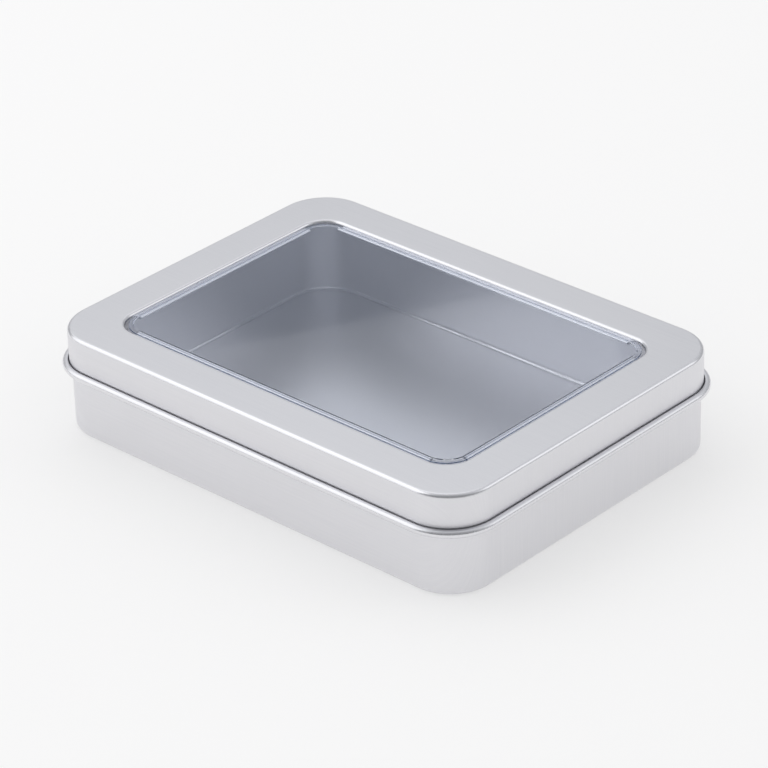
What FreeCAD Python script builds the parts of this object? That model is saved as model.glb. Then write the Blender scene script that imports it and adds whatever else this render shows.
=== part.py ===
import FreeCAD, Part
import math
import os

# A slip-lid tin of drawn tinplate with a clear window set in its lid.
# X runs along the long side, Y along the short side and Z up. The origin is at
# the middle of the flat bottom. Lengths are in millimetres, angles in degrees.

# Sheet stock
SHEET = 0.25                # tinplate of the base and the lid
WINDOW_SHEET = 0.3          # clear plastic of the window
BEND_STEP = 22.5            # bends are drawn as short flats of this much turn

# Base, measured outside
BASE_LENGTH = 111.0
BASE_WIDTH = 82.0
BASE_CORNER_RADIUS = 10.0   # upright corners
FLOOR_EDGE_RADIUS = 1.2     # floor to wall
RIM_DIAMETER = 1.4          # safe edge, rolled inwards at the mouth
RIM_TURN = 292.5            # how far the safe edge is rolled

# Lid, measured outside
CLOSED_HEIGHT = 23.0        # bottom of the base to top of the lid
LID_HEIGHT = 9.1            # top of the lid to the foot of its bead
TOP_EDGE_RADIUS = 0.9       # frame to skirt
BEAD_DIAMETER = 1.7         # bead, rolled outwards at the foot of the skirt
BEAD_TURN = 292.5           # how far the bead is rolled

# Window opening in the lid
FRAME_WIDTH = 9.2           # outside of the skirt to the brink of the opening
BRINK_CORNER_RADIUS = 6.3   # corners of the opening, seen from above
BRINK_RADIUS = 0.7          # frame to flange
FLANGE_DROP = 0.1           # straight part of the flange, between its two bends
TAB_BEND_RADIUS = 0.4       # flange to tab
TAB_WIDTH = 1.5             # flat of a tab, between its root and its folded edge
TAB_RISE = 15.0             # slope of a tab, up towards the window
HEM_WIDTH = 0.9             # straight part of the edge folded back under the tab
TAB_SETBACK = 0.3           # corner arc of the flange to the root of a tab
TAB_END_ANGLE = 5.0         # slope of a tab's ends, away from square

# Clear window, measured outside
WINDOW_CORNER_RADIUS = 6.0  # corners, rounder than the flange
WINDOW_RIM = 0.8            # flat of its rim, between its cut edge and its step
WINDOW_BEND_RADIUS = 0.35   # both bends of the step from its rim up to its pane
STEP_ANGLE = 60.0           # slope of that step

# Clearances
LID_CLEARANCE = 0.25        # base wall to the inside of the skirt
RIM_CLEARANCE = 0.1         # safe edge to the underside of the frame
WINDOW_CLEARANCE = 0.4      # window to the straight sides of the flange
SEAT_CLEARANCE = 0.02       # rim of the window to the tabs under it
HEM_GAP = 0.1               # tab to the edge folded under it

# Sizes that follow from these
LID_OFFSET = LID_CLEARANCE + SHEET
LID_LENGTH = BASE_LENGTH + 2 * LID_OFFSET
LID_WIDTH = BASE_WIDTH + 2 * LID_OFFSET
LID_CORNER_RADIUS = BASE_CORNER_RADIUS + LID_OFFSET
BASE_HEIGHT = CLOSED_HEIGHT - SHEET - RIM_CLEARANCE
BRINK_LENGTH = LID_LENGTH - 2 * FRAME_WIDTH
BRINK_WIDTH = LID_WIDTH - 2 * FRAME_WIDTH
TAB_INNER_RADIUS = TAB_BEND_RADIUS - SHEET
FLANGE_FOOT = CLOSED_HEIGHT - BRINK_RADIUS - FLANGE_DROP
HEM_RADIUS = SHEET + HEM_GAP / 2
RISE_SINE = math.sin(math.radians(TAB_RISE))
RISE_COSINE = math.cos(math.radians(TAB_RISE))
RISE_SLOPE = RISE_SINE / RISE_COSINE
TAB_REACH = (TAB_INNER_RADIUS + HEM_RADIUS) * (1 + RISE_SINE) + TAB_WIDTH * RISE_COSINE
HEM_LIFT = TAB_WIDTH * RISE_SINE + HEM_RADIUS * (1 - RISE_COSINE)
TAB_DEPTH = TAB_BEND_RADIUS + 2 * HEM_RADIUS
TAB_START = TAB_INNER_RADIUS * (1 + RISE_SINE)
TAB_START_LEVEL = FLANGE_FOOT - TAB_INNER_RADIUS * RISE_COSINE
STEP_START = WINDOW_CLEARANCE + WINDOW_RIM
STEP_RADII = 2 * WINDOW_BEND_RADIUS - WINDOW_SHEET
STEP_RUN = STEP_RADII * math.sin(math.radians(STEP_ANGLE))
STEP_HEIGHT = STEP_RADII * (1 - math.cos(math.radians(STEP_ANGLE)))
TAB_LEVEL = TAB_START_LEVEL + (STEP_START - TAB_START) * RISE_SLOPE
SEAT_LEVEL = TAB_LEVEL + WINDOW_BEND_RADIUS * (1 / RISE_COSINE - 1) + SEAT_CLEARANCE
PANE_LEVEL = SEAT_LEVEL + STEP_HEIGHT

UP = FreeCAD.Vector(0, 0, 1)
RIGHT_ANGLE = 90
OUTWARDS = 0
INWARDS = 180
DOWNWARDS = 270


def direction(angle):
    """Unit vector in the XZ plane, at an angle from outwards towards upwards."""
    turn = math.radians(angle)
    return FreeCAD.Vector(math.cos(turn), 0, math.sin(turn))


class BentSheet:
    """Cross-section of bent sheet, traced along one face with the sheet on its left.

    The section lies in the XZ plane: x is the distance outwards from an outline
    and z is the height. Bends to the left are positive, and their radius is
    that of the outer face.
    """

    def __init__(self, x, z, heading, thickness):
        self.point = FreeCAD.Vector(x, 0, z)
        self.heading = heading
        self.thickness = thickness
        self.edges = [Part.makeLine(self.point, self.far_point())]

    def far_point(self):
        return self.point + direction(self.heading + RIGHT_ANGLE) * self.thickness

    def straight(self, length):
        step = direction(self.heading) * length
        far = self.far_point()
        self.edges.append(Part.makeLine(self.point, self.point + step))
        self.edges.append(Part.makeLine(far, far + step))
        self.point = self.point + step
        return self

    def bend(self, angle, outer_radius):
        side = math.copysign(1, angle)
        traced_radius = outer_radius if angle > 0 else outer_radius - self.thickness
        far_radius = traced_radius - side * self.thickness
        centre = self.point + direction(self.heading + side * RIGHT_ANGLE) * traced_radius
        start = self.heading - side * RIGHT_ANGLE
        count = math.ceil(abs(angle) / BEND_STEP)
        turns = [start + angle * step / count for step in range(count + 1)]
        for radius in (traced_radius, far_radius):
            stops = [centre + direction(turn) * radius for turn in turns]
            self.edges += [Part.makeLine(*flat) for flat in zip(stops, stops[1:])]
        self.point = centre + direction(start + angle) * traced_radius
        self.heading = self.heading + angle
        return self

    def face(self):
        closing = Part.makeLine(self.point, self.far_point())
        ordered = Part.sortEdges(self.edges + [closing])[0]
        return Part.Face(Part.Wire(ordered))


def corner_centres(length, width, radius):
    """Centres of a rounded rectangle's corner arcs, anticlockwise from +X +Y."""
    x = length / 2 - radius
    y = width / 2 - radius
    return [FreeCAD.Vector(*place, 0) for place in ((x, y), (-x, y), (-x, -y), (x, -y))]


def carry_round(section, length, width, radius):
    """Carry a section round a rounded rectangle, with x = 0 on its outline."""
    centres = corner_centres(length, width, radius)
    pieces = []
    for quarter, centre in enumerate(centres):
        start = section.copy()
        start.translate(FreeCAD.Vector(radius, 0, 0))
        start.rotate(FreeCAD.Vector(), UP, quarter * RIGHT_ANGLE)
        start.translate(centre)
        pieces.append(start.revolve(centre, UP, RIGHT_ANGLE))
        end = start.copy()
        end.rotate(centre, UP, RIGHT_ANGLE)
        following = centres[(quarter + 1) % len(centres)]
        pieces.append(end.extrude(following - centre))
    return join(pieces)


def rounded_plate(length, width, radius, bottom, thickness):
    """Flat plate with rounded corners."""
    edges = []
    centres = corner_centres(length, width, radius)
    for quarter, centre in enumerate(centres):
        angles = [math.radians((quarter + share) * RIGHT_ANGLE) for share in (0, 0.5, 1)]
        spokes = [FreeCAD.Vector(math.cos(a), math.sin(a), 0) * radius for a in angles]
        edges.append(Part.Arc(*[centre + spoke for spoke in spokes]).toShape())
        following = centres[(quarter + 1) % len(centres)]
        edges.append(Part.makeLine(centre + spokes[-1], following + spokes[-1]))
    plate = Part.Face(Part.Wire(edges)).extrude(UP * thickness)
    plate.translate(UP * bottom)
    return plate


def join(pieces):
    """Fuse pieces of one sheet and merge the faces that run on."""
    return pieces[0].fuse(pieces[1:]).removeSplitter()


def make_base():
    """Drawn can: flat floor, upright wall and a safe edge rolled inwards."""
    wall = BentSheet(-FLOOR_EDGE_RADIUS, 0, OUTWARDS, SHEET)
    wall.bend(RIGHT_ANGLE, FLOOR_EDGE_RADIUS)
    wall.straight(BASE_HEIGHT - FLOOR_EDGE_RADIUS - RIM_DIAMETER / 2)
    wall.bend(RIM_TURN, RIM_DIAMETER / 2)
    floor = rounded_plate(
        BASE_LENGTH - 2 * FLOOR_EDGE_RADIUS,
        BASE_WIDTH - 2 * FLOOR_EDGE_RADIUS,
        BASE_CORNER_RADIUS - FLOOR_EDGE_RADIUS,
        0,
        SHEET,
    )
    return join([floor, carry_round(wall.face(), BASE_LENGTH, BASE_WIDTH, BASE_CORNER_RADIUS)])


def make_skirt():
    """Outer part of the lid: rounded top edge, skirt and a bead rolled outwards."""
    skirt = BentSheet(-TOP_EDGE_RADIUS, CLOSED_HEIGHT - SHEET, OUTWARDS, SHEET)
    skirt.bend(-RIGHT_ANGLE, TOP_EDGE_RADIUS)
    skirt.straight(LID_HEIGHT - TOP_EDGE_RADIUS - BEAD_DIAMETER / 2)
    skirt.bend(BEAD_TURN, BEAD_DIAMETER / 2)
    return carry_round(skirt.face(), LID_LENGTH, LID_WIDTH, LID_CORNER_RADIUS)


def make_frame():
    """Flat top of the lid, from the skirt's bend to the brink of the opening."""
    panel = rounded_plate(
        LID_LENGTH - 2 * TOP_EDGE_RADIUS,
        LID_WIDTH - 2 * TOP_EDGE_RADIUS,
        LID_CORNER_RADIUS - TOP_EDGE_RADIUS,
        CLOSED_HEIGHT - SHEET,
        SHEET,
    )
    opening = rounded_plate(
        BRINK_LENGTH, BRINK_WIDTH, BRINK_CORNER_RADIUS, CLOSED_HEIGHT - SHEET, SHEET
    )
    return panel.cut(opening)


def make_flange():
    """Edge of the opening, turned down all round."""
    flange = BentSheet(0, CLOSED_HEIGHT, INWARDS, SHEET)
    flange.bend(RIGHT_ANGLE, BRINK_RADIUS)
    flange.straight(FLANGE_DROP)
    return carry_round(flange.face(), BRINK_LENGTH, BRINK_WIDTH, BRINK_CORNER_RADIUS)


def make_tab(side_length, brink_distance):
    """Tab on the +X side: turned in from the flange, hemmed, with sloping ends."""
    root = brink_distance - BRINK_RADIUS
    section = BentSheet(root, FLANGE_FOOT, DOWNWARDS, SHEET)
    section.bend(-RIGHT_ANGLE - TAB_RISE, TAB_BEND_RADIUS)
    section.straight(TAB_WIDTH)
    section.bend(2 * RIGHT_ANGLE, HEM_RADIUS)
    section.straight(HEM_WIDTH)
    root_length = side_length - 2 * (BRINK_CORNER_RADIUS + TAB_SETBACK)
    strip = section.face()
    strip.translate(FreeCAD.Vector(0, -root_length / 2, 0))
    strip = strip.extrude(FreeCAD.Vector(0, root_length, 0))
    slope = TAB_REACH * math.tan(math.radians(TAB_END_ANGLE))
    plan = [
        (root + SHEET, root_length / 2),
        (root, root_length / 2),
        (root - TAB_REACH, root_length / 2 - slope),
        (root - TAB_REACH, slope - root_length / 2),
        (root, -root_length / 2),
        (root + SHEET, -root_length / 2),
    ]
    corners = [FreeCAD.Vector(x, y, FLANGE_FOOT - TAB_DEPTH) for x, y in plan + plan[:1]]
    outline = Part.Face(Part.makePolygon(corners))
    return strip.common(outline.extrude(UP * (TAB_DEPTH + HEM_LIFT)))


def make_tabs():
    """One tab on each straight side of the opening."""
    tabs = []
    for quarter in range(4):
        along_y = quarter % 2 == 0
        side_length = BRINK_WIDTH if along_y else BRINK_LENGTH
        brink_distance = (BRINK_LENGTH if along_y else BRINK_WIDTH) / 2
        tab = make_tab(side_length, brink_distance)
        tab.rotate(FreeCAD.Vector(), UP, quarter * RIGHT_ANGLE)
        tabs.append(tab)
    return tabs


def make_lid():
    """Drawn cover in one piece: frame, skirt with its bead, flange and tabs."""
    return join([make_frame(), make_skirt(), make_flange()] + make_tabs())


def make_window():
    """Clear sheet: a rim seated on the tabs, stepped up to a pane that clears them."""
    inset = BRINK_RADIUS + WINDOW_CLEARANCE
    length = BRINK_LENGTH - 2 * inset
    width = BRINK_WIDTH - 2 * inset
    pane_inset = WINDOW_RIM + STEP_RUN
    rim = BentSheet(-pane_inset, PANE_LEVEL, OUTWARDS, WINDOW_SHEET)
    rim.bend(-STEP_ANGLE, WINDOW_BEND_RADIUS)
    rim.bend(STEP_ANGLE, WINDOW_BEND_RADIUS)
    rim.straight(WINDOW_RIM)
    pane = rounded_plate(
        length - 2 * pane_inset,
        width - 2 * pane_inset,
        WINDOW_CORNER_RADIUS - pane_inset,
        PANE_LEVEL,
        WINDOW_SHEET,
    )
    return join([pane, carry_round(rim.face(), length, width, WINDOW_CORNER_RADIUS)])


def main():
    os.makedirs("parts", exist_ok=True)
    pieces = {
        "tin_base": make_base(),
        "tin_lid": make_lid(),
        "lid_window": make_window(),
    }
    for name, shape in pieces.items():
        shape.exportStep(os.path.join("parts", name + ".step"))


main()
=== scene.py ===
import math

import bpy
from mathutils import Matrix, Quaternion, Vector


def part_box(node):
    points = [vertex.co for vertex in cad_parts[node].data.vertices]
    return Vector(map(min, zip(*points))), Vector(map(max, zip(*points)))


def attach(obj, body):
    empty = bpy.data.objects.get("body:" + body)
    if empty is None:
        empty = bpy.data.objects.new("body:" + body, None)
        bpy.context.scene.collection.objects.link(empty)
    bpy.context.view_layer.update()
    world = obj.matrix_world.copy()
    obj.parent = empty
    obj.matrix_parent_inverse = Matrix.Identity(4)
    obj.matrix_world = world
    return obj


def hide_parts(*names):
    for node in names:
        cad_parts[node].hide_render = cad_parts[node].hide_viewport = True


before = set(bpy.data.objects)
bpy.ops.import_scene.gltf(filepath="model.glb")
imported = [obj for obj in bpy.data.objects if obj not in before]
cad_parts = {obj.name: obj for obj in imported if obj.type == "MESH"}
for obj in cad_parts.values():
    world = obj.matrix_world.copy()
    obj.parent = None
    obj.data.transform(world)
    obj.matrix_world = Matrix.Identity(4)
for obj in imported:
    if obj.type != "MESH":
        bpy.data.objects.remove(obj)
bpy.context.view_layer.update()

# A slip-lid tin of brushed tinplate with a clear window set in its lid.
# Lengths are in metres and angles in degrees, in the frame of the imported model:
# X along the long side, Y along the short side, Z up, and the origin at the
# middle of the flat bottom.

MM = 0.001
RIGHT_ANGLE = 90
OUTWARDS = 0
INWARDS = 180
DOWNWARDS = 270
HALF = 0.5
WHITE = (1, 1, 1, 1)

# Sheet stock, bends and curls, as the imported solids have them
SHEET = 0.25 * MM
WINDOW_SHEET = 0.3 * MM
FLOOR_EDGE_RADIUS = 1.2 * MM
RIM_DIAMETER = 1.4 * MM
RIM_TURN = 292.5
TOP_EDGE_RADIUS = 0.9 * MM
BEAD_DIAMETER = 1.7 * MM
BEAD_TURN = 292.5
BASE_CORNER_RADIUS = 10 * MM
LID_CORNER_RADIUS = 10.5 * MM
FRAME_WIDTH = 9.2 * MM
BRINK_CORNER_RADIUS = 6.3 * MM
BRINK_RADIUS = 0.7 * MM
FLANGE_DROP = 0.1 * MM
TAB_BEND_RADIUS = 0.4 * MM
TAB_WIDTH = 1.5 * MM
TAB_RISE = 15
HEM_RADIUS = 0.3 * MM
HEM_WIDTH = 0.9 * MM
TAB_SETBACK = 0.3 * MM
TAB_END_ANGLE = 5
WINDOW_CORNER_RADIUS = 6 * MM
WINDOW_CLEARANCE = 0.4 * MM
SEAT_CLEARANCE = 0.02 * MM
WINDOW_RIM = 0.8 * MM
WINDOW_BEND_RADIUS = 0.35 * MM
STEP_ANGLE = 60
WINDOW_EASE = 0.04 * MM

# How finely bends and corners are rounded, and how the parts of a piece are joined
BEND_STEP = 7.5
CORNER_STEPS = 22
WELD_DISTANCE = 0.03 * MM
SHARP_ANGLE = 40
LID_SECTIONS = 3

# Outside sizes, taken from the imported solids
base_low, base_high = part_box("tin_base")
lid_low, lid_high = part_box("tin_lid")
BASE_LENGTH, BASE_WIDTH, BASE_HEIGHT = (high - low for low, high in zip(base_low, base_high))
BEAD_REACH = BEAD_DIAMETER - SHEET
LID_LENGTH = lid_high[0] - lid_low[0] - 2 * BEAD_REACH
LID_WIDTH = lid_high[1] - lid_low[1] - 2 * BEAD_REACH
LID_TOP = lid_high[2]
LID_HEIGHT = lid_high[2] - lid_low[2]
BRINK_LENGTH = LID_LENGTH - 2 * FRAME_WIDTH
BRINK_WIDTH = LID_WIDTH - 2 * FRAME_WIDTH
FLANGE_FOOT = LID_TOP - BRINK_RADIUS - FLANGE_DROP
TAB_INNER_RADIUS = TAB_BEND_RADIUS - SHEET
RISE_SINE = math.sin(math.radians(TAB_RISE))
RISE_COSINE = math.cos(math.radians(TAB_RISE))
TAB_START = TAB_INNER_RADIUS * (1 + RISE_SINE)
TAB_START_LEVEL = FLANGE_FOOT - TAB_INNER_RADIUS * RISE_COSINE
WINDOW_INSET = BRINK_RADIUS + WINDOW_CLEARANCE
STEP_START = WINDOW_CLEARANCE + WINDOW_RIM
STEP_RADII = 2 * WINDOW_BEND_RADIUS - WINDOW_SHEET
STEP_HEIGHT = STEP_RADII * (1 - math.cos(math.radians(STEP_ANGLE)))
TAB_LEVEL = TAB_START_LEVEL + (STEP_START - TAB_START) * RISE_SINE / RISE_COSINE
SEAT_LEVEL = TAB_LEVEL + WINDOW_BEND_RADIUS * (1 / RISE_COSINE - 1) + SEAT_CLEARANCE
PANE_INSET = WINDOW_RIM + STEP_RADII * math.sin(math.radians(STEP_ANGLE))
PANE_BOTTOM = SEAT_LEVEL + STEP_HEIGHT

# Sockets that the node trees use
GEOMETRY = "NodeSocketGeometry"
FLOAT = "NodeSocketFloat"
INTEGER = "NodeSocketInt"
VECTOR = "NodeSocketVector"
MATERIAL = "NodeSocketMaterial"
OUTLINE_SIZES = {"Length": FLOAT, "Width": FLOAT, "Corner Radius": FLOAT, "Corner Steps": INTEGER}


def add(tree, kind, inputs=None, **settings):
    """Add a node to a tree, set its properties, then link or fill its inputs."""
    node = tree.nodes.new(kind)
    for name, value in settings.items():
        setattr(node, name, value)
    for key, value in (inputs or {}).items():
        if isinstance(value, bpy.types.NodeSocket):
            tree.links.new(value, node.inputs[key])
        else:
            node.inputs[key].default_value = value
    return node


def calculate(tree, operation, *values):
    """Output of a Math node."""
    kind = "ShaderNodeMath"
    return add(tree, kind, dict(enumerate(values)), operation=operation).outputs[0]


def new_group(name, kind, inputs, outputs):
    """Node group with named sockets, and its inner ends."""
    tree = bpy.data.node_groups.new(name, kind)
    for in_out, sockets in (("INPUT", inputs), ("OUTPUT", outputs)):
        for label, socket in sockets.items():
            tree.interface.new_socket(label, in_out=in_out, socket_type=socket)
    given = tree.nodes.new("NodeGroupInput").outputs
    result = tree.nodes.new("NodeGroupOutput").inputs
    return tree, given, result


def use_group(tree, group, inputs):
    """First output of a node group placed in a tree of geometry."""
    return add(tree, "GeometryNodeGroup", inputs, node_tree=group).outputs[0]


# Sections of bent sheet


def direction(angle):
    """Unit vector at an angle from outwards towards upwards."""
    turn = math.radians(angle)
    return Vector((math.cos(turn), math.sin(turn)))


class BentSheet:
    """Section of bent sheet, traced along one face with the sheet on its left.

    A point is its distance outwards from an outline and its height. Each point
    also keeps its place on the flat blank and how far the tools rubbed it bright.
    """

    def __init__(self, start, heading, thickness, blank):
        self.point = Vector(start)
        self.heading = heading
        self.thickness = thickness
        self.blank = blank
        self.blank_way = math.copysign(1, blank) if heading != OUTWARDS else 1
        self.rows = []
        self.mark(0)

    def mark(self, rubbed):
        far = self.point + direction(self.heading + RIGHT_ANGLE) * self.thickness
        self.rows.append((self.point.copy(), far, self.blank, rubbed))

    def straight(self, length):
        self.point = self.point + direction(self.heading) * length
        self.blank += self.blank_way * length
        self.mark(0)
        return self

    def bend(self, angle, outer_radius):
        side = math.copysign(1, angle)
        traced_radius = outer_radius if angle > 0 else outer_radius - self.thickness
        middle_radius = outer_radius - self.thickness / 2
        centre = self.point + direction(self.heading + side * RIGHT_ANGLE) * traced_radius
        steps = round(abs(angle) / BEND_STEP)
        for step in range(1, steps + 1):
            self.heading += angle / steps
            self.point = centre - direction(self.heading + side * RIGHT_ANGLE) * traced_radius
            self.blank += self.blank_way * middle_radius * math.radians(abs(angle)) / steps
            self.mark(math.sin(math.pi * step / steps))
        return self

    def ease(self, width):
        """End the sheet with both arrises of its cut edge taken off."""
        across = direction(self.heading + RIGHT_ANGLE)
        self.point = self.point + (direction(self.heading) + across) * width
        self.thickness -= 2 * width
        self.blank += self.blank_way * width
        self.mark(0)
        return self


def section_mesh(name, *sheets):
    """Edges of one or more sections, open where a flat panel carries on."""
    points = []
    edges = []
    kept = {"blank": [], "rubbed": [], "sheet_number": []}
    for number, sheet in enumerate(sheets):
        first = len(points)
        points += [(far.x, -far.y, 0) for near, far, blank, rubbed in sheet.rows]
        points += [(near.x, -near.y, 0) for near, far, blank, rubbed in reversed(sheet.rows)]
        edges += [(index, index + 1) for index in range(first, len(points) - 1)]
        for rows in (sheet.rows, reversed(sheet.rows)):
            for near, far, blank, rubbed in rows:
                kept["blank"].append(blank)
                kept["rubbed"].append(rubbed)
                kept["sheet_number"].append(number)
    mesh = bpy.data.meshes.new(name)
    mesh.from_pydata(points, edges, [])
    for label, values in kept.items():
        mesh.attributes.new(label, "FLOAT", "POINT").data.foreach_set("value", values)
    return mesh


# Geometry trees shared by the pieces


def make_rounded_outline():
    """Rounded rectangle, drawn inside its outer sizes by an inset."""
    inputs = {**OUTLINE_SIZES, "Inset": FLOAT}
    tree, given, result = new_group("rounded_outline", "GeometryNodeTree", inputs, {"Outline": GEOMETRY})
    both_insets = calculate(tree, "MULTIPLY", given["Inset"], 2)
    sizes = {
        "Width": calculate(tree, "SUBTRACT", given["Length"], both_insets),
        "Height": calculate(tree, "SUBTRACT", given["Width"], both_insets),
    }
    rectangle = add(tree, "GeometryNodeCurvePrimitiveQuadrilateral", sizes, mode="RECTANGLE")
    rounding = {
        "Curve": rectangle.outputs[0],
        "Count": given["Corner Steps"],
        "Radius": calculate(tree, "SUBTRACT", given["Corner Radius"], given["Inset"]),
    }
    rounded = add(tree, "GeometryNodeFilletCurve", rounding, mode="POLY")
    upright = add(tree, "GeometryNodeSetCurveNormal", {"Curve": rounded.outputs[0]}, mode="Z_UP")
    tree.links.new(upright.outputs[0], result["Outline"])
    return tree


def store_blank_place(tree, mesh, place):
    """Keep each corner's place on the flat blank as the piece's UV map."""
    inputs = {"Geometry": mesh, "Name": "UVMap", "Value": place}
    kind = "GeometryNodeStoreNamedAttribute"
    return add(tree, kind, inputs, data_type="FLOAT2", domain="CORNER").outputs[0]


def make_carry_round(rounded_outline):
    """Carry a section round a rounded outline, and unroll it into its flat blank."""
    inputs = {"Section": GEOMETRY, **OUTLINE_SIZES}
    tree, given, result = new_group("carry_round", "GeometryNodeTree", inputs, {"Mesh": GEOMETRY})
    outline = use_group(tree, rounded_outline, {label: given[label] for label in OUTLINE_SIZES})
    kept = add(tree, "GeometryNodeCaptureAttribute", {"Geometry": outline})
    kept.capture_items.new("VECTOR", "Outline Place")
    kept.capture_items.new("VECTOR", "Outwards")
    tree.links.new(add(tree, "GeometryNodeInputPosition").outputs[0], kept.inputs["Outline Place"])
    tree.links.new(add(tree, "GeometryNodeInputNormal").outputs[0], kept.inputs["Outwards"])
    section = add(tree, "GeometryNodeMeshToCurve", {"Mesh": given["Section"]})
    sweep = {"Curve": kept.outputs["Geometry"], "Profile Curve": section.outputs[0]}
    mesh = add(tree, "GeometryNodeCurveToMesh", sweep).outputs[0]
    blank = add(tree, "GeometryNodeInputNamedAttribute", {"Name": "blank"}, data_type="FLOAT")
    reach = {0: kept.outputs["Outwards"], "Scale": blank.outputs[0]}
    from_outline = add(tree, "ShaderNodeVectorMath", reach, operation="SCALE").outputs[0]
    parts = {0: kept.outputs["Outline Place"], 1: from_outline}
    place = add(tree, "ShaderNodeVectorMath", parts, operation="ADD").outputs[0]
    tree.links.new(store_blank_place(tree, mesh, place), result["Mesh"])
    return tree


def make_flat_panel():
    """Both faces of a flat panel inside an outline, less any outline within it."""
    inputs = {"Outlines": GEOMETRY, "Top": FLOAT, "Bottom": FLOAT}
    tree, given, result = new_group("flat_panel", "GeometryNodeTree", inputs, {"Mesh": GEOMETRY})
    outlines = {"Curve": given["Outlines"]}
    filled = add(tree, "GeometryNodeFillCurve", outlines, mode="TRIANGLES").outputs[0]
    place = add(tree, "GeometryNodeInputPosition").outputs[0]
    filled = store_blank_place(tree, filled, place)
    turned = add(tree, "GeometryNodeFlipFaces", {"Mesh": filled}).outputs[0]
    faces = add(tree, "GeometryNodeJoinGeometry")
    for face, level in ((filled, "Top"), (turned, "Bottom")):
        height = add(tree, "ShaderNodeCombineXYZ", {"Z": given[level]}).outputs[0]
        moved = add(tree, "GeometryNodeTransform", {"Geometry": face, "Translation": height})
        tree.links.new(moved.outputs[0], faces.inputs[0])
    tree.links.new(faces.outputs[0], result["Mesh"])
    return tree


def close_tree(tree, parts, material, result):
    """End a piece's tree: weld its parts, mark the cut edges sharp and give it its material."""
    joined = add(tree, "GeometryNodeJoinGeometry")
    for part in parts:
        tree.links.new(part, joined.inputs[0])
    welding = {"Geometry": joined.outputs[0], "Distance": WELD_DISTANCE}
    welded = add(tree, "GeometryNodeMergeByDistance", welding).outputs[0]
    angle = add(tree, "GeometryNodeInputMeshEdgeAngle").outputs["Unsigned Angle"]
    soft = calculate(tree, "LESS_THAN", angle, math.radians(SHARP_ANGLE))
    smooth = add(tree, "GeometryNodeSetShadeSmooth", {"Geometry": welded}, domain="FACE").outputs[0]
    marking = {"Geometry": smooth, "Shade Smooth": soft}
    marked = add(tree, "GeometryNodeSetShadeSmooth", marking, domain="EDGE").outputs[0]
    whole = add(tree, "GeometryNodeRealizeInstances", {"Geometry": marked}).outputs[0]
    finish = {"Geometry": whole, "Material": material}
    finished = add(tree, "GeometryNodeSetMaterial", finish).outputs[0]
    tree.links.new(finished, result["Mesh"])


def make_pan_tree(name, rounded_outline, carry_round, flat_panel):
    """Drawn pan: a flat floor with a section carried round its edge."""
    inputs = {
        "Section": GEOMETRY,
        **OUTLINE_SIZES,
        "Floor Edge": FLOAT,
        "Floor Bottom": FLOAT,
        "Floor Top": FLOAT,
        "Material": MATERIAL,
    }
    tree, given, result = new_group(name, "GeometryNodeTree", inputs, {"Mesh": GEOMETRY})
    sizes = {label: given[label] for label in OUTLINE_SIZES}
    wall = use_group(tree, carry_round, {"Section": given["Section"], **sizes})
    outline = use_group(tree, rounded_outline, {**sizes, "Inset": given["Floor Edge"]})
    levels = {"Top": given["Floor Top"], "Bottom": given["Floor Bottom"]}
    floor = use_group(tree, flat_panel, {"Outlines": outline, **levels})
    close_tree(tree, [wall, floor], given["Material"], result)
    return tree


def make_tab():
    """Tab on the +X side of the opening, with ends that slope in from its root."""
    inputs = {"Section": GEOMETRY, "Root Length": FLOAT, "Root Distance": FLOAT, "End Slope": FLOAT}
    tree, given, result = new_group("window_tab", "GeometryNodeTree", inputs, {"Mesh": GEOMETRY})
    half = calculate(tree, "DIVIDE", given["Root Length"], 2)
    ends = {}
    for label, sign in (("Start", -1), ("End", 1)):
        along = calculate(tree, "MULTIPLY", half, sign)
        ends[label] = add(tree, "ShaderNodeCombineXYZ", {"Y": along}).outputs[0]
    line = add(tree, "GeometryNodeCurvePrimitiveLine", ends).outputs[0]
    upright = add(tree, "GeometryNodeSetCurveNormal", {"Curve": line}, mode="Z_UP").outputs[0]
    section = add(tree, "GeometryNodeMeshToCurve", {"Mesh": given["Section"]}).outputs[0]
    closed = add(tree, "GeometryNodeSetSplineCyclic", {"Geometry": section, "Cyclic": True}).outputs[0]
    sweep = {"Curve": upright, "Profile Curve": closed, "Fill Caps": True}
    strip = add(tree, "GeometryNodeCurveToMesh", sweep).outputs[0]
    axes = add(tree, "ShaderNodeSeparateXYZ", {0: add(tree, "GeometryNodeInputPosition").outputs[0]})
    from_root = calculate(tree, "MAXIMUM", calculate(tree, "MULTIPLY", axes.outputs["X"], -1), 0)
    cut_back = calculate(tree, "MULTIPLY", from_root, given["End Slope"])
    share = calculate(tree, "DIVIDE", axes.outputs["Y"], half)
    drawn_in = calculate(tree, "MULTIPLY", calculate(tree, "MULTIPLY", cut_back, share), -1)
    shift = add(tree, "ShaderNodeCombineXYZ", {"X": given["Root Distance"], "Y": drawn_in}).outputs[0]
    moved = add(tree, "GeometryNodeSetPosition", {"Geometry": strip, "Offset": shift}).outputs[0]
    tree.links.new(moved, result["Mesh"])
    return tree


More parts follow.
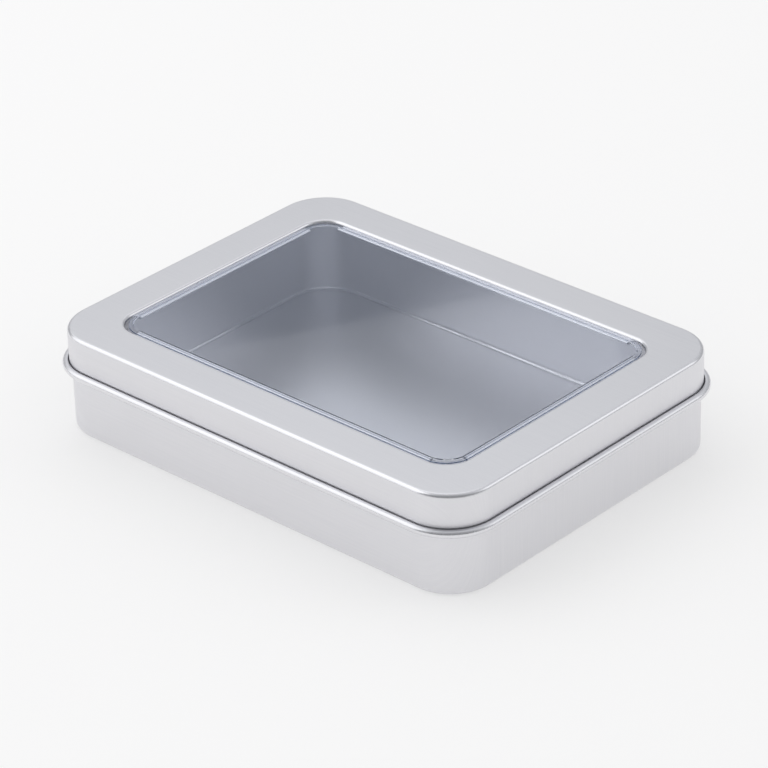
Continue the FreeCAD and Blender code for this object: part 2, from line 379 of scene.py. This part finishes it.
def make_lid_tree(rounded_outline, carry_round, flat_panel, window_tab):
    """Drawn cover: flat frame, skirt with its bead, flange and a tab on each side."""
    inputs = {
        "Sections": GEOMETRY,
        **OUTLINE_SIZES,
        "Top Edge": FLOAT,
        "Frame Bottom": FLOAT,
        "Frame Top": FLOAT,
        "Opening Length": FLOAT,
        "Opening Width": FLOAT,
        "Opening Corner Radius": FLOAT,
        "Brink Radius": FLOAT,
        "Tab Setback": FLOAT,
        "Tab End Slope": FLOAT,
        "Material": MATERIAL,
    }
    tree, given, result = new_group("tin_lid_shape", "GeometryNodeTree", inputs, {"Mesh": GEOMETRY})
    number = add(tree, "GeometryNodeInputNamedAttribute", {"Name": "sheet_number"}, data_type="FLOAT")
    sections = []
    for wanted in range(LID_SECTIONS):
        chosen = calculate(tree, "COMPARE", number.outputs[0], wanted, HALF)
        choice = {"Geometry": given["Sections"], "Selection": chosen}
        sections.append(add(tree, "GeometryNodeSeparateGeometry", choice).outputs[0])
    skirt_section, flange_section, tab_section = sections
    sizes = {label: given[label] for label in OUTLINE_SIZES}
    opening = {"Corner Steps": given["Corner Steps"]}
    for label in ("Length", "Width", "Corner Radius"):
        opening[label] = given["Opening " + label]
    skirt = use_group(tree, carry_round, {"Section": skirt_section, **sizes})
    flange = use_group(tree, carry_round, {"Section": flange_section, **opening})
    outlines = add(tree, "GeometryNodeJoinGeometry")
    outer = use_group(tree, rounded_outline, {**sizes, "Inset": given["Top Edge"]})
    inner = use_group(tree, rounded_outline, opening)
    tree.links.new(outer, outlines.inputs[0])
    tree.links.new(inner, outlines.inputs[0])
    levels = {"Top": given["Frame Top"], "Bottom": given["Frame Bottom"]}
    panel = use_group(tree, flat_panel, {"Outlines": outlines.outputs[0], **levels})
    from_corner = calculate(tree, "ADD", given["Opening Corner Radius"], given["Tab Setback"])
    both_ends = calculate(tree, "MULTIPLY", from_corner, 2)
    tabs = add(tree, "GeometryNodeJoinGeometry")
    sides = [("Opening Width", "Opening Length"), ("Opening Length", "Opening Width")] * 2
    for quarter, (along, across) in enumerate(sides):
        half_across = calculate(tree, "DIVIDE", given[across], 2)
        tab_sizes = {
            "Section": tab_section,
            "Root Length": calculate(tree, "SUBTRACT", given[along], both_ends),
            "Root Distance": calculate(tree, "SUBTRACT", half_across, given["Brink Radius"]),
            "End Slope": given["Tab End Slope"],
        }
        tab = use_group(tree, window_tab, tab_sizes)
        turning = {"Geometry": tab, "Rotation": (0, 0, math.radians(quarter * RIGHT_ANGLE))}
        turned = add(tree, "GeometryNodeTransform", turning)
        tree.links.new(turned.outputs[0], tabs.inputs[0])
    place = add(tree, "GeometryNodeInputPosition").outputs[0]
    tabs_on_blank = store_blank_place(tree, tabs.outputs[0], place)
    close_tree(tree, [skirt, flange, panel, tabs_on_blank], given["Material"], result)
    return tree


def make_piece(name, section, tree, sizes):
    """Run a piece's tree on its section and keep the result as a plain mesh."""
    piece = bpy.data.objects.new(name, section)
    bpy.context.scene.collection.objects.link(piece)
    shape = piece.modifiers.new("shape", "NODES")
    shape.node_group = tree
    for item in tree.interface.items_tree:
        if item.name in sizes:
            shape[item.identifier] = sizes[item.name]
    flats = piece.modifiers.new("flat panels", "WEIGHTED_NORMAL")
    flats.keep_sharp = True
    depsgraph = bpy.context.evaluated_depsgraph_get()
    mesh = bpy.data.meshes.new_from_object(piece.evaluated_get(depsgraph), depsgraph=depsgraph)
    mesh.materials.clear()
    mesh.materials.append(sizes["Material"])
    piece.modifiers.clear()
    piece.data = mesh
    mesh.name = name
    return piece


def hand_over(piece, body, node):
    """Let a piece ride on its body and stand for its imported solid."""
    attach(piece, body)
    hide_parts(node)


# Finishes

TIN_DARK = (0.76, 0.758, 0.785, 1)
TIN_LIGHT = (0.8, 0.796, 0.818, 1)
TIN_ROUGHNESS = 0.38
TIN_SMUDGE_ROUGHNESS = 0.04
TIN_STREAK_ROUGHNESS = 0.04
TIN_RUBBED_ROUGHNESS = -0.18
TIN_BUMP = 0.08
TIN_SCRATCH_DEPTH = -0.5
BUMP_HEIGHT = 0.01 * MM
LID_BLANK_SHIFT = (0.3, 0.2, 0)
STREAK_LENGTH = 9 * MM
STREAK_WIDTH = 0.12 * MM
STREAK_WIDENINGS = (1, 4)
STREAK_RANGE = {1: 0.3, 2: 0.7}
SMUDGE_SIZE = 20 * MM
SMUDGE_RANGE = {1: 0.45, 2: 0.75}
SCRATCH_RANGE = {1: 0.74, 2: 0.8}
SCRATCH_TURN = (0, 0, 0.6)
SCRATCH_FINENESS = (60, 1500, 1500)
PLASTIC_TINT = (0.965, 0.978, 1, 1)
PLASTIC_HAZE = 0.3
HAZE_TINT = (0.45, 0.6, 1, 1)
PLASTIC_SHADOW = (0.97, 0.98, 0.99, 1)
PLASTIC_IOR = 1.45
PLASTIC_ROUGHNESS = 0.02
PLASTIC_SMUDGE_ROUGHNESS = 0.03
PLASTIC_BUMP = 0.1


def make_brushed_grain():
    """Fine streaks along the first axis, from the rolling and brushing of the sheet."""
    inputs = {"Vector": VECTOR, "Streak Length": FLOAT, "Streak Width": FLOAT}
    tree, given, result = new_group("brushed_grain", "ShaderNodeTree", inputs, {"Streak": FLOAT})
    layers = []
    for widening in STREAK_WIDENINGS:
        across = calculate(tree, "MULTIPLY", given["Streak Width"], widening)
        along = calculate(tree, "MULTIPLY", given["Streak Length"], widening)
        size = add(tree, "ShaderNodeCombineXYZ", {"X": along, "Y": across, "Z": 1}).outputs[0]
        stretch = {0: given["Vector"], 1: size}
        stretched = add(tree, "ShaderNodeVectorMath", stretch, operation="DIVIDE").outputs[0]
        noise = add(tree, "ShaderNodeTexNoise", {"Vector": stretched, "Scale": 1, "Detail": 2})
        layers.append(noise.outputs[0])
    both = calculate(tree, "ADD", *layers)
    tree.links.new(calculate(tree, "MULTIPLY", both, HALF), result["Streak"])
    return tree


def make_handling_marks():
    """Soft smudges and sparse hairline scratches left by handling."""
    inputs = {"Vector": VECTOR, "Smudge Size": FLOAT}
    outputs = {"Smudge": FLOAT, "Scratch": FLOAT}
    tree, given, result = new_group("handling_marks", "ShaderNodeTree", inputs, outputs)
    size = calculate(tree, "DIVIDE", 1, given["Smudge Size"])
    cloud = {"Vector": given["Vector"], "Scale": size, "Detail": 3, "Distortion": 0.4}
    noise = add(tree, "ShaderNodeTexNoise", cloud).outputs[0]
    smudge = add(tree, "ShaderNodeMapRange", {0: noise, **SMUDGE_RANGE}).outputs[0]
    tree.links.new(smudge, result["Smudge"])
    turned = {"Vector": given["Vector"], "Rotation": SCRATCH_TURN, "Scale": SCRATCH_FINENESS}
    stretched = add(tree, "ShaderNodeMapping", turned).outputs[0]
    hairs = add(tree, "ShaderNodeTexNoise", {"Vector": stretched, "Scale": 1, "Detail": 0}).outputs[0]
    scratch = add(tree, "ShaderNodeMapRange", {0: hairs, **SCRATCH_RANGE}).outputs[0]
    tree.links.new(scratch, result["Scratch"])
    return tree


def new_material(name):
    """Empty node material with a Principled shader and its output."""
    material = bpy.data.materials.new(name)
    material.use_nodes = True
    tree = material.node_tree
    tree.nodes.clear()
    shader = add(tree, "ShaderNodeBsdfPrincipled")
    output = add(tree, "ShaderNodeOutputMaterial", {"Surface": shader.outputs[0]})
    return material, tree, shader, output


def place_group(tree, group, inputs):
    """Outputs of a shader node group placed in a material."""
    return add(tree, "ShaderNodeGroup", inputs, node_tree=group).outputs


def make_tinplate(name, brushed_grain, handling_marks, blank_shift):
    """Bare brushed tinplate, rubbed a little smoother where the tools bent it."""
    material, tree, shader, _ = new_material(name)
    blank = add(tree, "ShaderNodeUVMap", uv_map="UVMap").outputs[0]
    placed = add(tree, "ShaderNodeMapping", {"Vector": blank, "Location": blank_shift}).outputs[0]
    sizes = {"Streak Length": STREAK_LENGTH, "Streak Width": STREAK_WIDTH}
    streak = place_group(tree, brushed_grain, {"Vector": placed, **sizes})["Streak"]
    place = add(tree, "ShaderNodeTexCoord").outputs["Object"]
    marks = place_group(tree, handling_marks, {"Vector": place, "Smudge Size": SMUDGE_SIZE})
    rubbed = add(tree, "ShaderNodeAttribute", attribute_name="rubbed").outputs["Fac"]
    share = add(tree, "ShaderNodeMapRange", {0: streak, **STREAK_RANGE}).outputs[0]
    colours = {0: share, 6: TIN_DARK, 7: TIN_LIGHT}
    tint = add(tree, "ShaderNodeMix", colours, data_type="RGBA")
    tree.links.new(tint.outputs[2], shader.inputs["Base Color"])
    shader.inputs["Metallic"].default_value = 1
    rough = TIN_ROUGHNESS
    changes = (
        (marks["Smudge"], TIN_SMUDGE_ROUGHNESS),
        (share, TIN_STREAK_ROUGHNESS),
        (rubbed, TIN_RUBBED_ROUGHNESS),
    )
    for mask, change in changes:
        rough = calculate(tree, "MULTIPLY_ADD", mask, change, rough)
    tree.links.new(rough, shader.inputs["Roughness"])
    height = calculate(tree, "MULTIPLY_ADD", marks["Scratch"], TIN_SCRATCH_DEPTH, streak)
    relief = {"Height": height, "Strength": TIN_BUMP, "Distance": BUMP_HEIGHT}
    bump = add(tree, "ShaderNodeBump", relief)
    tree.links.new(bump.outputs[0], shader.inputs["Normal"])
    return material


def make_clear_plastic(name, handling_marks):
    """Clear stiff sheet with a faint blue haze, smudges and hairline scratches."""
    material, tree, shader, output = new_material(name)
    shader.inputs["Base Color"].default_value = PLASTIC_TINT
    shader.inputs["Transmission Weight"].default_value = 1
    shader.inputs["IOR"].default_value = PLASTIC_IOR
    shader.inputs["Sheen Weight"].default_value = PLASTIC_HAZE
    shader.inputs["Sheen Tint"].default_value = HAZE_TINT
    place = add(tree, "ShaderNodeTexCoord").outputs["Object"]
    marks = place_group(tree, handling_marks, {"Vector": place, "Smudge Size": SMUDGE_SIZE})
    rough = calculate(tree, "MULTIPLY_ADD", marks["Smudge"], PLASTIC_SMUDGE_ROUGHNESS, PLASTIC_ROUGHNESS)
    tree.links.new(rough, shader.inputs["Roughness"])
    scratches = {"Height": marks["Scratch"], "Strength": PLASTIC_BUMP, "Distance": BUMP_HEIGHT}
    bump = add(tree, "ShaderNodeBump", scratches)
    tree.links.new(bump.outputs[0], shader.inputs["Normal"])
    clear = add(tree, "ShaderNodeBsdfTransparent", {"Color": PLASTIC_SHADOW})
    shadow = add(tree, "ShaderNodeLightPath").outputs["Is Shadow Ray"]
    mixed = add(tree, "ShaderNodeMixShader", {0: shadow, 1: shader.outputs[0], 2: clear.outputs[0]})
    tree.links.new(mixed.outputs[0], output.inputs["Surface"])
    return material


brushed_grain = make_brushed_grain()
handling_marks = make_handling_marks()
base_tinplate = make_tinplate("brushed_tinplate_base", brushed_grain, handling_marks, (0, 0, 0))
lid_tinplate = make_tinplate("brushed_tinplate_lid", brushed_grain, handling_marks, LID_BLANK_SHIFT)
clear_plastic = make_clear_plastic("clear_window_plastic", handling_marks)

# Pieces

rounded_outline = make_rounded_outline()
carry_round = make_carry_round(rounded_outline)
flat_panel = make_flat_panel()

wall = BentSheet((-FLOOR_EDGE_RADIUS, 0), OUTWARDS, SHEET, -FLOOR_EDGE_RADIUS)
wall.bend(RIGHT_ANGLE, FLOOR_EDGE_RADIUS)
wall.straight(BASE_HEIGHT - FLOOR_EDGE_RADIUS - RIM_DIAMETER / 2)
wall.bend(RIM_TURN, RIM_DIAMETER / 2)
tin_base = make_piece(
    "tin_base_shell",
    section_mesh("base_section", wall),
    make_pan_tree("tin_base_shape", rounded_outline, carry_round, flat_panel),
    {
        "Length": BASE_LENGTH,
        "Width": BASE_WIDTH,
        "Corner Radius": BASE_CORNER_RADIUS,
        "Corner Steps": CORNER_STEPS,
        "Floor Edge": FLOOR_EDGE_RADIUS,
        "Floor Bottom": 0.0,
        "Floor Top": SHEET,
        "Material": base_tinplate,
    },
)
hand_over(tin_base, "base", "tin_base")

skirt = BentSheet((-TOP_EDGE_RADIUS, LID_TOP - SHEET), OUTWARDS, SHEET, -TOP_EDGE_RADIUS)
skirt.bend(-RIGHT_ANGLE, TOP_EDGE_RADIUS)
skirt.straight(LID_HEIGHT - TOP_EDGE_RADIUS - BEAD_DIAMETER / 2)
skirt.bend(BEAD_TURN, BEAD_DIAMETER / 2)
flange = BentSheet((0, LID_TOP), INWARDS, SHEET, -0.0)
flange.bend(RIGHT_ANGLE, BRINK_RADIUS)
flange.straight(FLANGE_DROP)
tab = BentSheet((0, FLANGE_FOOT), DOWNWARDS, SHEET, -0.0)
tab.bend(-RIGHT_ANGLE - TAB_RISE, TAB_BEND_RADIUS)
tab.straight(TAB_WIDTH)
tab.bend(2 * RIGHT_ANGLE, HEM_RADIUS)
tab.straight(HEM_WIDTH)
tin_lid = make_piece(
    "tin_lid_shell",
    section_mesh("lid_sections", skirt, flange, tab),
    make_lid_tree(rounded_outline, carry_round, flat_panel, make_tab()),
    {
        "Length": LID_LENGTH,
        "Width": LID_WIDTH,
        "Corner Radius": LID_CORNER_RADIUS,
        "Corner Steps": CORNER_STEPS,
        "Top Edge": TOP_EDGE_RADIUS,
        "Frame Bottom": LID_TOP - SHEET,
        "Frame Top": LID_TOP,
        "Opening Length": BRINK_LENGTH,
        "Opening Width": BRINK_WIDTH,
        "Opening Corner Radius": BRINK_CORNER_RADIUS,
        "Brink Radius": BRINK_RADIUS,
        "Tab Setback": TAB_SETBACK,
        "Tab End Slope": math.tan(math.radians(TAB_END_ANGLE)),
        "Material": lid_tinplate,
    },
)
hand_over(tin_lid, "lid", "tin_lid")

rim = BentSheet((-PANE_INSET, PANE_BOTTOM), OUTWARDS, WINDOW_SHEET, -PANE_INSET)
rim.bend(-STEP_ANGLE, WINDOW_BEND_RADIUS)
rim.bend(STEP_ANGLE, WINDOW_BEND_RADIUS)
rim.straight(WINDOW_RIM - WINDOW_EASE)
rim.ease(WINDOW_EASE)
lid_window = make_piece(
    "lid_window_sheet",
    section_mesh("window_section", rim),
    make_pan_tree("lid_window_shape", rounded_outline, carry_round, flat_panel),
    {
        "Length": BRINK_LENGTH - 2 * WINDOW_INSET,
        "Width": BRINK_WIDTH - 2 * WINDOW_INSET,
        "Corner Radius": WINDOW_CORNER_RADIUS,
        "Corner Steps": CORNER_STEPS,
        "Floor Edge": PANE_INSET,
        "Floor Bottom": PANE_BOTTOM,
        "Floor Top": PANE_BOTTOM + WINDOW_SHEET,
        "Material": clear_plastic,
    },
)
hand_over(lid_window, "lid", "lid_window")

# Floor, light and camera

FLOOR_SIZE = 8
FLOOR_LEVEL = -0.1 * MM
FLOOR_COLOUR = (0.93, 0.93, 0.935, 1)
FLOOR_ROUGHNESS = 0.9
FLOOR_GLOSS = 0.1
CAMERA_AZIMUTH = 43.1
CAMERA_ELEVATION = 29.35
CAMERA_ROLL = -1.75
CAMERA_DISTANCE = 0.78
CAMERA_LENS = 178
CAMERA_NEAR = 0.01
LAMP_DISTANCE = 0.9
AIM = Vector((0, 0, LID_TOP / 2))
SKY_RANGE = {1: 0.2, 2: 0.75}
ROOM_RANGE = {1: 0.35, 2: 0.95}
HORIZON_GREY = 0.5
OVERHEAD_WHITE = 0.73
ROOM_SHADE = 0.5
ROOM_ELEVATION = 25
AMBIENT = 0.78
STUDIO_WHITE = (0.95, 0.97, 1, 1)
FLOOR_GLOW = 0.45


def looking_back(azimuth, elevation):
    """Direction from the tin towards a place seen at these angles."""
    turn, lift = math.radians(azimuth), math.radians(elevation)
    return Vector((math.sin(turn) * math.cos(lift), -math.cos(turn) * math.cos(lift), math.sin(lift)))


def seen_ray(tree):
    """1 where the camera sees a surface, in a mirror or through glass too, else 0."""
    path = add(tree, "ShaderNodeLightPath").outputs
    shown = calculate(tree, "MAXIMUM", path["Is Camera Ray"], path["Is Glossy Ray"])
    return calculate(tree, "MAXIMUM", shown, path["Is Transmission Ray"])


def make_floor():
    """Wide pale floor, partly shining white where it is seen."""
    half = FLOOR_SIZE / 2
    corners = [(-half, -half), (half, -half), (half, half), (-half, half)]
    mesh = bpy.data.meshes.new("floor")
    mesh.from_pydata([(x, y, FLOOR_LEVEL) for x, y in corners], [], [(0, 1, 2, 3)])
    material, tree, shader, output = new_material("floor_paper")
    shader.inputs["Base Color"].default_value = FLOOR_COLOUR
    shader.inputs["Roughness"].default_value = FLOOR_ROUGHNESS
    shader.inputs["Specular IOR Level"].default_value = FLOOR_GLOSS
    glow = add(tree, "ShaderNodeEmission", {"Color": WHITE, "Strength": 1})
    share = calculate(tree, "MULTIPLY", seen_ray(tree), FLOOR_GLOW)
    mixed = add(tree, "ShaderNodeMixShader", {0: share, 1: shader.outputs[0], 2: glow.outputs[0]})
    tree.links.new(mixed.outputs[0], output.inputs["Surface"])
    mesh.materials.append(material)
    floor = bpy.data.objects.new("floor", mesh)
    bpy.context.scene.collection.objects.link(floor)


def make_lamp(name, azimuth, elevation, size, power):
    """Soft square lamp aimed at the tin."""
    lamp = bpy.data.lights.new(name, "AREA")
    lamp.size = size
    lamp.energy = power
    holder = bpy.data.objects.new(name, lamp)
    back = looking_back(azimuth, elevation)
    holder.location = AIM + back * LAMP_DISTANCE
    holder.rotation_euler = (-back).to_track_quat("-Z", "Y").to_euler()
    bpy.context.scene.collection.objects.link(holder)


def make_world():
    """Soft studio: grey at the horizon, lighter overhead, dimmer behind the camera."""
    world = bpy.data.worlds.new("studio")
    bpy.context.scene.world = world
    world.use_nodes = True
    tree = world.node_tree
    tree.nodes.clear()
    way = add(tree, "ShaderNodeTexCoord").outputs["Generated"]
    height = add(tree, "ShaderNodeSeparateXYZ", {0: way}).outputs["Z"]
    smooth = {"interpolation_type": "SMOOTHSTEP"}
    overhead = {0: height, **SKY_RANGE, 3: HORIZON_GREY, 4: OVERHEAD_WHITE}
    above = add(tree, "ShaderNodeMapRange", overhead, **smooth).outputs[0]
    front = looking_back(CAMERA_AZIMUTH, ROOM_ELEVATION)
    facing = add(tree, "ShaderNodeVectorMath", {0: way, 1: front}, operation="DOT_PRODUCT")
    room = {0: facing.outputs["Value"], **ROOM_RANGE, 3: 1, 4: ROOM_SHADE}
    shade = add(tree, "ShaderNodeMapRange", room, **smooth).outputs[0]
    strength = calculate(tree, "MULTIPLY", above, shade)
    seen = add(tree, "ShaderNodeBackground", {"Color": STUDIO_WHITE, "Strength": strength})
    ambient = add(tree, "ShaderNodeBackground", {"Color": WHITE, "Strength": AMBIENT})
    choice = {0: seen_ray(tree), 1: ambient.outputs[0], 2: seen.outputs[0]}
    mixed = add(tree, "ShaderNodeMixShader", choice)
    add(tree, "ShaderNodeOutputWorld", {"Surface": mixed.outputs[0]})


def make_camera():
    """Camera at the photograph's viewing angle."""
    camera = bpy.data.objects.new("camera", bpy.data.cameras.new("camera"))
    camera.data.lens = CAMERA_LENS
    camera.data.clip_start = CAMERA_NEAR
    back = looking_back(CAMERA_AZIMUTH, CAMERA_ELEVATION)
    camera.location = AIM + back * CAMERA_DISTANCE
    turn = (-back).to_track_quat("-Z", "Y")
    camera.rotation_mode = "QUATERNION"
    camera.rotation_quaternion = turn @ Quaternion((0, 0, 1), math.radians(CAMERA_ROLL))
    bpy.context.scene.collection.objects.link(camera)
    bpy.context.scene.camera = camera


make_floor()
make_world()
make_lamp("overhead_softbox", azimuth=-118, elevation=54, size=0.8, power=0.65)
make_lamp("left_softbox", azimuth=-50, elevation=35, size=0.95, power=1.9)
make_lamp("right_softbox", azimuth=135, elevation=30, size=0.5, power=0.42)
make_camera()
bpy.context.scene.view_settings.view_transform = "Standard"
